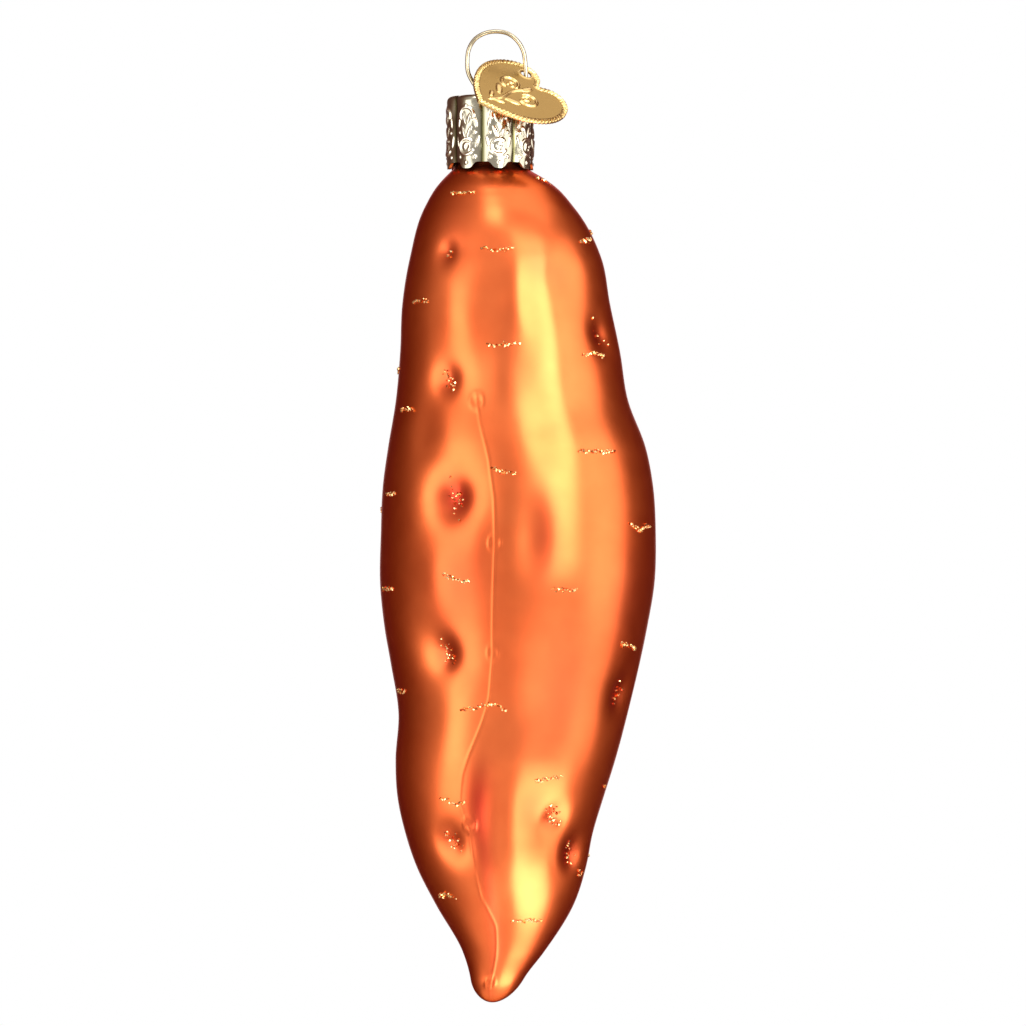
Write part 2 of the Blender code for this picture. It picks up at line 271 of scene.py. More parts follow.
# The cap.
CAP_TOP_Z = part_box("cap")[1].z
CAP_RADIUS = 0.0061
CAP_SHEET = 0.00035
CAP_CORNER = 0.0008
CAP_SKIRT_Z = -0.0182
SCALLOP_DEPTH = 0.0009
SCALLOP_HALF_WIDTH = 0.0011
CAP_PANELS = 8
FIRST_PANEL_ANGLE = 12
GROOVE_DEPTH = 0.00042
CAP_COLUMNS = 480
CAP_ROWS = (10, 8, 116)  # the rings of points of its top, corner and skirt, outside
CAP_INNER_ROWS = (1, 3, 4)  # the same inside
CAP_PLUG_RADIUS = 0.0029  # the middle of the top, which holds the wire's two holes
WIRE_HOLE_RADIUS = 0.00065
WIRE_HOLE_SPACING = 0.00270
HOLE_SIDES = 40

# The relief stamped in each panel. Places are (across, z) from the panel's middle line.
# Arcs: (across, z, radius, first degrees, last degrees, height), degrees anticlockwise from the right.
PANEL_ARCS = (
    (0.0000, -0.0117, 0.00110, -20, 200, 0.00017),
    (0.0000, -0.0161, 0.00110, 50, 330, 0.00018),
    (0.0002, -0.0161, 0.00045, -60, 190, 0.00012),
)
# Leaves: (across, z, half length, half width, degrees of tilt from upright, height).
PANEL_LEAVES = (
    (0.00042, -0.01215, 0.0008, 0.00022, -18, 0.00014),
    (-0.00042, -0.01215, 0.0008, 0.00022, 18, 0.00014),
    (0.00050, -0.01400, 0.0009, 0.00025, -22, 0.00015),
    (-0.00050, -0.01400, 0.0009, 0.00025, 22, 0.00015),
    (0.00140, -0.01270, 0.0008, 0.00020, 10, 0.00012),
    (-0.00140, -0.01270, 0.0008, 0.00020, -10, 0.00012),
    (0.00165, -0.01540, 0.0009, 0.00020, -14, 0.00012),
    (-0.00165, -0.01540, 0.0009, 0.00020, 14, 0.00012),
)
# Dots: (across, z, radius, height).
PANEL_DOTS = (
    (0.0000, -0.0104, 0.00028, 0.00012),
    (0.00130, -0.0141, 0.00026, 0.00014),
    (-0.00130, -0.0141, 0.00026, 0.00014),
    (0.00130, -0.0175, 0.00028, 0.00014),
    (-0.00130, -0.0175, 0.00028, 0.00014),
    (0.0000, -0.0183, 0.00030, 0.00014),
)
STROKE_WIDTH = 0.00020
# Painted shade on the cap's ground between its raised ornament and in the grooves between its panels.
CAP_LOW_RELIEF = 0.00008  # ground lower than this gets painted shade
CAP_LOW_SHADE = 0.5
GROOVE_SHADE = 0.6
GROOVE_SHADE_WIDTH = 0.25  # in shares of a panel
# Slight dents of the sheet: (waves round the cap, radians for each metre up, first radians).
CAP_DENTS = (
    (5, 900, 0.0),
    (13, -1500, 1.0),
)
DENT_HEIGHT = 0.00003

# The hanger wire: its (x, z) route from one foot inside the neck to the other.
WIRE_RADIUS = 0.0003
WIRE_STEP = 0.0003
WIRE_SMOOTHNESS = 6  # Blender's bevel resolution
WIRE_ROUTE = (
    (-0.00405, -0.0185),
    (-0.00385, -0.0160),
    (-0.00310, -0.0127),
    (-0.00245, -0.0104),
    (-0.00225, -0.0091),
    (-0.00250, -0.0080),
    (-0.00325, -0.0069),
    (-0.00395, -0.0055),
    (-0.00410, -0.0038),
    (-0.00385, -0.0021),
    (-0.00295, -0.0007),
    (-0.00150, 0.0001),
    (0.00000, 0.0003),
    (0.00160, 0.0000),
    (0.00290, -0.0010),
    (0.00375, -0.0025),
    (0.00402, -0.0042),
    (0.00410, -0.00574),
    (0.00403, -0.0066),
    (0.00345, -0.0074),
    (0.00245, -0.0078),
    (0.00135, -0.0080),
    (0.00065, -0.0084),
    (0.00045, -0.0091),
    (0.00065, -0.0104),
    (0.00130, -0.0127),
    (0.00205, -0.0160),
    (0.00225, -0.0185),
)

# The heart tag. Its own origin is its hole, x runs across it and y away from its point.
TAG_HINGE = Vector((0.00410, 0.0, -0.00574))
TAG_FACE = Vector((0.343, -0.572, 0.744))
TAG_POINT = Vector((-0.695, -0.688, -0.208))
TAG_SHEET = 0.00022
TAG_HOLE_RADIUS = 0.00075
EYELET_RADIUS = 0.00100
EYELET_HEIGHT = 0.00010
TAG_HOLE = (-0.0030, 0.0002)  # from the heart's notch
TAG_STEP = 0.00009  # between the points of its faces
TAG_CLEARANCE = 0.6 * TAG_STEP  # from its edges to the nearest of those points
MERGE_DISTANCE = 1e-7
HOLE_CHORD_SHARE = 0.997  # how near the hole's sides come to its middle, for one of its radius
TAG_LOW_RELIEF = 0.00006  # ground lower than this gets painted shade
TAG_LOW_SHADE = 0.8
HEART_EDGE_STEPS = 40
# Half of the heart's outline, from its notch down to its point: (x, y).
HEART_HALF = (
    (0.0000, 0.0000),
    (0.0013, 0.0014),
    (0.0032, 0.0019),
    (0.0053, 0.0010),
    (0.0067, -0.0012),
    (0.0070, -0.0041),
    (0.0058, -0.0072),
    (0.0033, -0.0100),
    (0.0000, -0.0121),
)
ROPE_INSET = 0.00040
ROPE_HALF_WIDTH = 0.00042
ROPE_HEIGHT = 0.00026
ROPE_VALLEY = 0.2  # its height between two twists, for one of its full height
ROPE_TWISTS = 76
# The sprig in its middle, from the heart's notch: (x, y, half length, half width, degrees of tilt).
SPRIG_LEAVES = (
    (0.00000, -0.0024, 0.00110, 0.00048, 0),
    (0.00150, -0.0066, 0.00130, 0.00050, -50),
    (-0.00150, -0.0066, 0.00130, 0.00050, 50),
    (0.00090, -0.0086, 0.00085, 0.00036, -42),
    (-0.00090, -0.0086, 0.00085, 0.00036, 42),
)
# Its curled tendrils: (x, y, radius, first degrees, last degrees).
SPRIG_CURLS = (
    (0.00200, -0.0040, 0.00125, -100, 170),
    (-0.00200, -0.0040, 0.00125, 10, 280),
    (0.00165, -0.0041, 0.00045, -60, 200),
    (-0.00165, -0.0041, 0.00045, -20, 240),
)
SPRIG_STEM = (-0.0098, -0.0030)  # its lowest and highest y
STEM_SWAY = 0.0003
STEM_WAVE = 900.0  # radians for each metre up
SPRIG_HEIGHT = 0.00026
SPRIG_STROKE = 0.00019


def smooth_curve(knots, values, places):
    """The values at these places of a smooth curve through the values at rising knots."""
    knots = np.asarray(knots, float)
    values = np.asarray(values, float)
    slopes = np.gradient(values, knots)
    index = np.clip(np.searchsorted(knots, places) - 1, 0, len(knots) - 2)
    span = knots[index + 1] - knots[index]
    t = (places - knots[index]) / span
    start = (2 * t**3 - 3 * t**2 + 1) * values[index]
    end = (3 * t**2 - 2 * t**3) * values[index + 1]
    bend_out = (t**3 - 2 * t**2 + t) * span * slopes[index]
    bend_in = (t**3 - t**2) * span * slopes[index + 1]
    return start + end + bend_out + bend_in


def route_through(points, step):
    """Points about a step apart on a smooth curve through the given points."""
    points = np.asarray(points, float)
    lengths = np.linalg.norm(np.diff(points, axis=0), axis=1)
    knots = np.concatenate([[0.0], np.cumsum(lengths)])
    places = np.linspace(0.0, knots[-1], round(knots[-1] / step) + 1)
    columns = [smooth_curve(knots, points[:, axis], places) for axis in range(points.shape[1])]
    return np.stack(columns, axis=1)


def bell(distance, width):
    """A smooth bump, 1 at the middle."""
    return np.exp(-((distance / width) ** 2))


def angle_between(first, second):
    """The signed difference of two angles in degrees, the short way round."""
    return (first - second + 180.0) % 360.0 - 180.0


def grid_faces(rows, columns, start=0, flip=False):
    """Quads between rings of points, wrapping round."""
    faces = []
    for row in range(rows - 1):
        for column in range(columns):
            after = (column + 1) % columns
            above = start + row * columns
            below = above + columns
            face = (above + column, above + after, below + after, below + column)
            faces.append(face[::-1] if flip else face)
    return faces


def place_object(name, data):
    """An object of this data, in the scene."""
    thing = bpy.data.objects.new(name, data)
    bpy.context.scene.collection.objects.link(thing)
    return thing


def finish_mesh(mesh, material, smooth=True):
    """An object of this mesh, in the scene."""
    mesh.update()
    if smooth:
        mesh.shade_smooth()
        mesh.set_sharp_from_angle(angle=SHARP_ANGLE)
    mesh.materials.append(material)
    return place_object(mesh.name, mesh)


def finish_bmesh(name, work, material):
    """An object of this bmesh, with its faces turned outwards."""
    bmesh.ops.recalc_face_normals(work, faces=work.faces)
    mesh = bpy.data.meshes.new(name)
    work.to_mesh(mesh)
    work.free()
    return finish_mesh(mesh, material)


def add_object(name, points, faces, material, smooth=True):
    """A mesh object of these points and faces."""
    mesh = bpy.data.meshes.new(name)
    mesh.from_pydata(np.asarray(points).tolist(), [], faces)
    return finish_mesh(mesh, material, smooth)


def add_attribute(thing, name, values):
    """A number at each point of the mesh, for its material to read."""
    attribute = thing.data.attributes.new(name, "FLOAT", "POINT")
    attribute.data.foreach_set("value", np.asarray(values, dtype=np.float32))


# ---- materials ----

# Base colours are linear (red, green, blue). Pairs run from darker to brighter.
LACQUER_COLOURS = ((0.84, 0.153, 0.036), (0.90, 0.188, 0.048))
# The crimson of the painted shade on the lacquer.
LACQUER_SHADE_COLOUR = (0.50, 0.018, 0.012)
LACQUER_TINT = (0.40, 0.04, 0.02, 1.0)  # at grazing angles
CAP_COLOUR = (0.88, 0.83, 0.68)
# Painted shade for the cap's low ground and its grooves.
CAP_PAINTED_SHADE = (0.13, 0.12, 0.05)
BRASS_COLOUR = (0.92, 0.66, 0.27)
# Painted shade for the low ground of the heart tag.
BRASS_PAINTED_SHADE = (0.33, 0.185, 0.035)
WIRE_COLOURS = ((0.48, 0.41, 0.26), (0.68, 0.60, 0.43))
GLITTER_COLOURS = ((0.50, 0.20, 0.06), (1.0, 0.76, 0.36))
DULL_SHARE = 0.85  # the duller spots of a stamped metal, for one of its colour
GLOSS_RANGE = (0.75, 1.3)  # its least and greatest roughness, for one of its usual roughness
SCRATCH_DEPTH = 0.000008


def new_material(name):
    """A material, its node tree and its Principled shader."""
    material = bpy.data.materials.new(name)
    material.use_nodes = True
    tree = material.node_tree
    return material, tree, tree.nodes["Principled BSDF"]


def add_node(tree, kind, **settings):
    """A node with some of its properties or inputs set."""
    node = tree.nodes.new(kind)
    for key, value in settings.items():
        if hasattr(node, key):
            setattr(node, key, value)
        else:
            node.inputs[key.replace("_", " ")].default_value = value
    return node


def add_noise(tree, scale, detail=2.0):
    """A noise texture in the object's own space."""
    place = add_node(tree, "ShaderNodeTexCoord")
    noise = add_node(tree, "ShaderNodeTexNoise", Scale=scale, Detail=detail)
    tree.links.new(place.outputs["Object"], noise.inputs["Vector"])
    return noise


def add_ramp(tree, source, low, high, start=0.0, end=1.0):
    """A colour ramp from one colour to another."""
    ramp = add_node(tree, "ShaderNodeValToRGB")
    ramp.color_ramp.elements[0].position = start
    ramp.color_ramp.elements[0].color = (*low, 1.0)
    ramp.color_ramp.elements[1].position = end
    ramp.color_ramp.elements[1].color = (*high, 1.0)
    tree.links.new(source, ramp.inputs["Fac"])
    return ramp


def add_painted_shade(tree, base, attribute, shade_colour):
    """The base colour, turned towards a painted shade colour where the mesh's attribute says."""
    mask = add_node(tree, "ShaderNodeAttribute", attribute_name=attribute)
    mix = add_node(tree, "ShaderNodeMix", data_type="RGBA")
    factor, first, second = mix.inputs[0], mix.inputs[6], mix.inputs[7]
    second.default_value = (*shade_colour, 1.0)
    tree.links.new(mask.outputs["Fac"], factor)
    tree.links.new(base, first)
    return mix.outputs[2]


def add_gloss(tree, shader, source, low, high):
    """Roughness between two values, from a noise."""
    gloss = add_node(tree, "ShaderNodeMapRange", To_Min=low, To_Max=high)
    tree.links.new(source, gloss.inputs["Value"])
    tree.links.new(gloss.outputs["Result"], shader.inputs["Roughness"])


def add_bump(tree, shader, source, depth):
    """A fine bump, its depth in metres."""
    bump = add_node(tree, "ShaderNodeBump", Distance=depth)
    tree.links.new(source, bump.inputs["Height"])
    tree.links.new(bump.outputs["Normal"], shader.inputs["Normal"])


def lacquer_material():
    """Satin translucent orange lacquer on silvered glass, with painted crimson shade under the cap, in
    the root eyes and in listed spots.
    """
    material, tree, shader = new_material("satin_orange_lacquer")
    shader.inputs["Metallic"].default_value = 1.0
    shader.inputs["Specular Tint"].default_value = LACQUER_TINT
    shader.inputs["Coat Weight"].default_value = 0.2
    shader.inputs["Coat Roughness"].default_value = 0.3
    tone = add_noise(tree, scale=90.0, detail=3.0)
    colour = add_ramp(tree, tone.outputs["Fac"], *LACQUER_COLOURS, start=0.35, end=0.65)
    # Painted shade: the base colour turns crimson under the cap, in the root eyes and in listed spots.
    shaded_base = add_painted_shade(tree, colour.outputs["Color"], "painted_shade", LACQUER_SHADE_COLOUR)
    tree.links.new(shaded_base, shader.inputs["Base Color"])
    satin = add_noise(tree, scale=400.0, detail=4.0)
    add_gloss(tree, shader, satin.outputs["Fac"], low=0.27, high=0.35)
    return material


def stamped_metal(name, bright, dark, roughness):
    """A bright stamped metal, darker and duller where its relief is low: painted shade."""
    material, tree, shader = new_material(name)
    shader.inputs["Metallic"].default_value = 1.0
    tone = add_noise(tree, scale=900.0, detail=3.0)
    dull = tuple(DULL_SHARE * part for part in bright)
    shade = add_ramp(tree, tone.outputs["Fac"], dull, bright, start=0.3, end=0.7)
    # Painted shade where the relief is low.
    shaded_base = add_painted_shade(tree, shade.outputs["Color"], "painted_recess_shade", dark)
    tree.links.new(shaded_base, shader.inputs["Base Color"])
    smoothest, roughest = (roughness * share for share in GLOSS_RANGE)
    add_gloss(tree, shader, tone.outputs["Fac"], smoothest, roughest)
    scratches = add_noise(tree, scale=3500.0)
    add_bump(tree, shader, scratches.outputs["Fac"], SCRATCH_DEPTH)
    return material


def wire_material():
    """Drawn wire with a champagne plating."""
    material, tree, shader = new_material("champagne_wire")
    shader.inputs["Metallic"].default_value = 1.0
    tone = add_noise(tree, scale=700.0, detail=3.0)
    shade = add_ramp(tree, tone.outputs["Fac"], *WIRE_COLOURS, start=0.3, end=0.7)
    tree.links.new(shade.outputs["Color"], shader.inputs["Base Color"])
    add_gloss(tree, shader, tone.outputs["Fac"], low=0.14, high=0.28)
    return material


def glitter_material():
    """Cream-gold metal flakes."""
    material, tree, shader = new_material("gold_glitter")
    shader.inputs["Metallic"].default_value = 1.0
    tone = add_noise(tree, scale=2500.0, detail=1.0)
    shade = add_ramp(tree, tone.outputs["Fac"], *GLITTER_COLOURS, start=0.42, end=0.58)
    tree.links.new(shade.outputs["Color"], shader.inputs["Base Color"])
    add_gloss(tree, shader, tone.outputs["Fac"], low=0.12, high=0.25)
    return material


# ---- the glass body ----


def body_section(z):
    """The middle x, half width, depth and closing share of the body at each height."""
    left = smooth_curve(BODY_EDGES[:, 0], BODY_EDGES[:, 1], z)
    right = smooth_curve(BODY_EDGES[:, 0], BODY_EDGES[:, 2], z)
    half = (right - left) / 2
    past_round = np.clip((TIP_Z + TIP_ROUND - z) / TIP_ROUND, 0.0, 1.0)
    closing = np.sqrt(1.0 - past_round**2)
    below_neck = np.clip((SHOULDER_TOP_Z - z) / (SHOULDER_TOP_Z - SHOULDER_END_Z), 0.0, 1.0)
    depth = half * (1.0 - (1.0 - DEPTH_SHARE) * below_neck)
    return (left + right) / 2, half * closing, depth * closing, closing * below_neck


def away_from(z, angle, half, place_z, place_angle):
    """The distance along the glass from a place."""
    across = np.radians(angle_between(angle, place_angle)) * half
    return np.hypot(across, z - place_z)


def seam_angles(z, behind):
    """The seam's angle at each height, in front or behind."""
    angle = np.interp(z, SEAM[::-1, 0], SEAM[::-1, 1])
    return 180.0 - angle if behind else angle


def relief(z, angle, half):
    """How far the surface stands out at each height and angle."""
    total = np.zeros(np.broadcast(z, angle).shape)
    for swell_z, swell_angle, length, width, height, lean in SWELLS:
        middle = swell_angle + lean * (swell_z - z)
        total += height * bell(z - swell_z, length) * bell(angle_between(angle, middle), width)
    for eye_z, eye_angle, radius, depth, _ in ROOT_EYES:
        away = away_from(z, angle, half, eye_z, eye_angle)
        total -= depth * EYE_PIT_SHARE * bell(away, radius)
        total -= depth * (1.0 - EYE_PIT_SHARE) * bell(away, EYE_HOLLOW * radius)
    for behind in (False, True):
        across = np.radians(angle_between(angle, seam_angles(z, behind))) * half
        present = np.clip((SEAM[0, 0] - z) / SEAM_FADE, 0.0, 1.0)
        total += SEAM_HEIGHT * present * bell(across, SEAM_WIDTH)
    for ring_z, ring_angle, radius, height in SEAM_RINGS:
        away = away_from(z, angle, half, ring_z, ring_angle)
        total += height * bell(away - radius, SEAM_RING_WIDTH)
    return total


def painted_lacquer_shade(z, angle):
    """How much painted shade the lacquer has, 0 to 1: under the cap, in its listed spots and in the
    root eyes.
    """
    half = body_section(z)[1]
    total = SHADE_UNDER_CAP * bell(z - SHOULDER_TOP_Z, SHADE_UNDER_CAP_DEPTH)
    for shade_z, shade_angle, length, width, share in LACQUER_SHADE_SPOTS:
        total = total + share * bell(z - shade_z, length) * bell(angle_between(angle, shade_angle), width)
    for eye_z, eye_angle, radius, depth, _ in ROOT_EYES:
        away = away_from(z, angle, half, eye_z, eye_angle)
        total = total + EYE_SHADE_PER_DEPTH * depth * bell(away, radius)
    return np.clip(total, 0.0, 1.0)


def surface_points(z, angle):
    """The outside of the glass at each height and angle."""
    middle, half, depth, share = body_section(z)
    rise = relief(z, angle, half) * share
    turn = np.radians(angle)
    x = middle + (half + rise) * np.sin(turn)
    y = -(depth + rise) * np.cos(turn)
    return np.stack([x, y, z + 0.0 * angle], axis=-1)


def outward_directions(grid):
    """The outward direction of the surface at each point of a grid of rings."""
    down = np.gradient(grid, axis=0)
    wrapped = np.concatenate([grid[:, -1:], grid, grid[:, :1]], axis=1)
    across = np.gradient(wrapped, axis=1)[:, 1:-1]
    outward = np.cross(down, across)
    return outward / np.linalg.norm(outward, axis=2, keepdims=True)


def column_angles():
    """Angles of the columns of points, closer together near the front and back seams."""
    fine = np.linspace(0.0, 360.0, ANGLE_SAMPLES)
    near_front = bell(angle_between(fine, SEAM_MIDDLE), SEAM_CROWD_WIDTH)
    near_back = bell(angle_between(fine, 180.0 - SEAM_MIDDLE), SEAM_CROWD_WIDTH)
    crowd = 1.0 + SEAM_CROWDING * (near_front + BACK_CROWDING * near_back)
    total = np.concatenate([[0.0], np.cumsum((crowd[1:] + crowd[:-1]) / 2)])
    places = np.linspace(0.0, total[-1], GLASS_COLUMNS, endpoint=False)
    return np.interp(places, total, fine)


def row_heights():
    """Heights of the rings of points, from the neck down to just above the tip."""
    neck = np.linspace(GLASS_TOP_Z, SHOULDER_TOP_Z, NECK_ROWS, endpoint=False)
    shoulder = np.linspace(SHOULDER_TOP_Z, SHOULDER_END_Z, SHOULDER_ROWS, endpoint=False)
    belly = np.linspace(SHOULDER_END_Z, TIP_Z + TIP_ROUND, BELLY_ROWS, endpoint=False)
    turn = np.linspace(0.0, math.pi / 2, TIP_ROWS, endpoint=False)
    return np.concatenate([neck, shoulder, belly, TIP_Z + TIP_ROUND - TIP_ROUND * np.sin(turn)])


def make_glass_body():
    """The hollow glass, with its swells, root eyes and seam."""
    heights = row_heights()
    angles = column_angles()
    outer = surface_points(heights[:, None], angles[None, :])
    rows = len(heights)
    lowest = TIP_Z + HOLLOW_END
    inner_rows = [row for row in range(0, rows, INNER_ROW_STEP) if heights[row] > lowest]
    inner = (outer - GLASS_WALL * outward_directions(outer))[inner_rows]
    inner[0, :, 2] = GLASS_TOP_Z
    tip = (outer[-1, :, 0].mean(), 0.0, TIP_Z)
    inner_tip = (inner[-1, :, 0].mean(), 0.0, inner[-1, :, 2].mean() - GLASS_WALL)
    points = np.concatenate([outer.reshape(-1, 3), inner.reshape(-1, 3), [tip, inner_tip]])
    inner_start = rows * GLASS_COLUMNS
    tip_index = len(points) - 2
    faces = grid_faces(rows, GLASS_COLUMNS, flip=True)
    faces += grid_faces(len(inner_rows), GLASS_COLUMNS, inner_start)
    outer_last = inner_start - GLASS_COLUMNS
    inner_last = tip_index - GLASS_COLUMNS
    for column in range(GLASS_COLUMNS):
        after = (column + 1) % GLASS_COLUMNS
        faces.append((column, after, inner_start + after, inner_start + column))
        faces.append((outer_last + after, outer_last + column, tip_index))
        faces.append((inner_last + column, inner_last + after, tip_index + 1))
    body = add_object("glass_body_skin", points, faces, lacquer_material())
    # Painted shade for the lacquer, on the outside's points only.
    painted_shade = np.zeros(len(points))
    painted_shade[:inner_start] = painted_lacquer_shade(heights[:, None], angles[None, :]).reshape(-1)
    add_attribute(body, "painted_shade", painted_shade)
    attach(body, "ornament")
    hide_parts("glass_body")


# ---- the glitter ----


def glass_place(z, angle):
    """A point on the glass and the outward direction there."""
    turn = math.degrees(PROBE_STEP / TYPICAL_RADIUS)
    heights = np.array([[z + PROBE_STEP], [z], [z - PROBE_STEP]])
    angles = np.array([[angle - turn, angle, angle + turn]])
    grid = surface_points(heights, angles)
    across = (Vector(grid[1, 2]) - Vector(grid[1, 0])).normalized()
    down = (Vector(grid[2, 1]) - Vector(grid[0, 1])).normalized()
    return Vector(grid[1, 1]), down.cross(across).normalized()


def dash_grains(draw, dashes):
    """Places of the grains along each dash: (z, angle, offset across, offset down)."""
    places = []
    for z, angle, length, fall in dashes:
        count = round(length / GRAIN_STEP)
        bow = draw.uniform(-DASH_BOW, DASH_BOW)
        for index in range(count):
            along = (index + 0.5) / count - 0.5
            wander = bow * math.cos(2.0 * math.pi * along) + draw.normal(0.0, DASH_WIDTH / 2)
            down = along * length * math.tan(math.radians(fall)) + wander
            places.append((z, angle, along * length + draw.normal(0.0, GRAIN_JITTER), down))
    return places


def eye_grains(draw):
    """Places of the grains clumped in the root eyes."""
    places = []
    for z, angle, radius, _, count in ROOT_EYES:
        for _ in range(count):
            across, down = (draw.normal(0.0, spread * radius) for spread in EYE_SPREAD)
            places.append((z, angle, across + EYE_SLANT * down, down))
    return places


def hidden_dashes(draw):
    """Dashes scattered round the back, like the ones in front."""
    dashes = []
    for index in range(HIDDEN_DASHES):
        z = HIDDEN_TOP_Z - HIDDEN_SPAN * (index + draw.uniform(*HIDDEN_PLACE)) / HIDDEN_DASHES
        turned = (index * HIDDEN_TURN) % HIDDEN_ARC - HIDDEN_ARC / 2
        angle = 180.0 + turned + draw.uniform(-HIDDEN_WANDER, HIDDEN_WANDER)
        length = draw.uniform(*HIDDEN_LENGTH)
        dashes.append((z, angle, length, draw.uniform(-HIDDEN_FALL, HIDDEN_FALL)))
    return dashes


def flake(middle, radius, turn, draw):
    """The six corners of an uneven eight-sided grain."""
    axes = ((1, 0, 0), (-1, 0, 0), (0, 1, 0), (0, -1, 0), (0, 0, 1), (0, 0, -1))
    reach = radius * draw.uniform(*FLAKE_REACH, len(axes))
    return [middle + turn @ (Vector(axis) * length) for axis, length in zip(axes, reach)]


def make_glitter():
    """All the glitter grains, set a little into the lacquer."""
    draw = np.random.default_rng(GLITTER_SEED)
    places = dash_grains(draw, DASHES) + eye_grains(draw) + dash_grains(draw, hidden_dashes(draw))
    corners = ((0, 2, 4), (2, 1, 4), (1, 3, 4), (3, 0, 4), (2, 0, 5), (1, 2, 5), (3, 1, 5), (0, 3, 5))
    points = []
    faces = []
    for z, angle, across_by, down_by in places:
        half = float(body_section(np.array(z))[1])
        turn_by = math.degrees(across_by / max(half, LEAST_HALF_WIDTH))
        point, outward = glass_place(z - down_by, angle + turn_by)
        radius = draw.uniform(*GRAIN_RADIUS)
        turn = Euler(draw.uniform(0.0, 2.0 * math.pi, 3)).to_matrix()
        start = len(points)
        points += flake(point + outward * radius * GRAIN_LIFT, radius, turn, draw)
        faces += [tuple(start + corner for corner in face) for face in corners]
    grains = add_object("glitter_grains", points, faces, glitter_material(), smooth=False)
    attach(grains, "ornament")


# ---- the cap ----


def panel_position(angle):
    """The angle from the middle of the nearest panel, in degrees."""
    width = 360.0 / CAP_PANELS
    return (angle - FIRST_PANEL_ANGLE + width / 2) % width - width / 2


def panel_share(angle):
    """1 in the middle of a cap panel and 0 in the groove between two."""
    return np.abs(np.cos(np.radians((angle - FIRST_PANEL_ANGLE) * CAP_PANELS / 2)))


def leaf_height(across, up, half_length, half_width, tilt, height):
    """A raised leaf centred on the origin, its tilt in degrees anticlockwise from upright."""
    turn = math.radians(tilt)
    along = up * math.cos(turn) - across * math.sin(turn)
    beside = across * math.cos(turn) + up * math.sin(turn)
    inside = np.clip(1.0 - (along / half_length) ** 2 - (beside / half_width) ** 2, 0.0, 1.0)
    return height * np.sqrt(inside)


def arc_height(across, up, radius, first, last, height, width):
    """A raised arc centred on the origin."""
    angle = np.degrees(np.arctan2(up, across))
    middle = (first + last) / 2
    past = np.clip(np.abs(angle_between(angle, middle)) - (last - first) / 2, 0.0, None)
    away = np.hypot(np.hypot(across, up) - radius, np.radians(past) * radius)
    return height * bell(away, width)


def cap_relief(angle, z):
    """The stamped ornament of the cap's panels."""
    across = np.radians(panel_position(angle)) * CAP_RADIUS
    total = np.zeros(np.broadcast(angle, z).shape)
    for middle, height_z, radius, first, last, height in PANEL_ARCS:
        beside, up = across - middle, z - height_z
        arc = arc_height(beside, up, radius, first, last, height, STROKE_WIDTH)
        total = np.maximum(total, arc)
    for middle, height_z, length, width, tilt, height in PANEL_LEAVES:
        leaf = leaf_height(across - middle, z - height_z, length, width, tilt, height)
        total = np.maximum(total, leaf)
    for middle, height_z, radius, height in PANEL_DOTS:
        dot = leaf_height(across - middle, z - height_z, radius, radius, 0.0, height)
        total = np.maximum(total, dot)
    return total


def cap_dents(angle, z):
    """Slight unevenness of the thin sheet."""
    turn = np.radians(angle)
    waves = [np.sin(count * turn + rate * z + first) for count, rate, first in CAP_DENTS]
    return DENT_HEIGHT * sum(waves)


def scallop_drop(angles):
    """How far the rim's tongue hangs down at each angle."""
    across = np.radians(panel_position(angles)) * CAP_RADIUS
    return SCALLOP_DEPTH * np.exp(-((across / SCALLOP_HALF_WIDTH) ** 4))


def cap_ring(angles, radius, z, raised=0.0, scalloped=0.0):
    """A ring of points round the cap, drawn in at the grooves, and let down at the scallops."""
    share = panel_share(angles)
    reach = radius - GROOVE_DEPTH * (1.0 - share) * radius / CAP_RADIUS + raised
    turn = np.radians(angles)
    x = NECK_X + reach * np.sin(turn)
    y = -reach * np.cos(turn)
    return np.stack([x, y, z - scalloped * scallop_drop(angles)], axis=-1)


def cap_skin(angles, inset, top_rows, corner_rows, skirt_rows):
    """The rings of one skin of the cap, from its plug out, over the corner and down to the rim."""
    corner = CAP_CORNER - inset / 2
    radius = CAP_RADIUS - inset
    top = CAP_TOP_Z - inset
    rings = [cap_ring(angles, reach, top)
             for reach in np.linspace(CAP_PLUG_RADIUS, radius - corner, top_rows, endpoint=False)]
    for turn in np.linspace(0.0, math.pi / 2, corner_rows, endpoint=False):
        reach = radius - corner * (1 - math.sin(turn))
        rings.append(cap_ring(angles, reach, top - corner * (1 - math.cos(turn))))
    for share in np.linspace(0.0, 1.0, skirt_rows):
        z = top - corner + share * (CAP_SKIRT_Z - top + corner)
        real_z = z - share * scallop_drop(angles)
        stamped = 0.0
        if inset == 0.0:
            stamped = cap_relief(angles, real_z) + cap_dents(angles, real_z)
        rings.append(cap_ring(angles, radius, z, stamped, share))
    return rings


def hole_ring(work, side, z):
    """The points of one of the wire's holes in the cap's top."""
    middle = NECK_X + side * WIRE_HOLE_SPACING / 2
    turns = [2 * math.pi * step / HOLE_SIDES for step in range(HOLE_SIDES)]
    circle = [(WIRE_HOLE_RADIUS * math.sin(turn), WIRE_HOLE_RADIUS * math.cos(turn)) for turn in turns]
    return [work.verts.new((middle + across, -ahead, z)) for across, ahead in circle]


def join_rings(work, first, second):
    """Quads between two closed rings of points."""
    for index, vert in enumerate(first):
        after = (index + 1) % len(first)
        work.faces.new((vert, second[index], second[after], first[after]))


def ring_edges(work, ring):
    """The edges round a ring of points, made where they are missing."""
    edges = []
    for index, vert in enumerate(ring):
        after = ring[(index + 1) % len(ring)]
        edges.append(work.edges.get((vert, after)) or work.edges.new((vert, after)))
    return edges


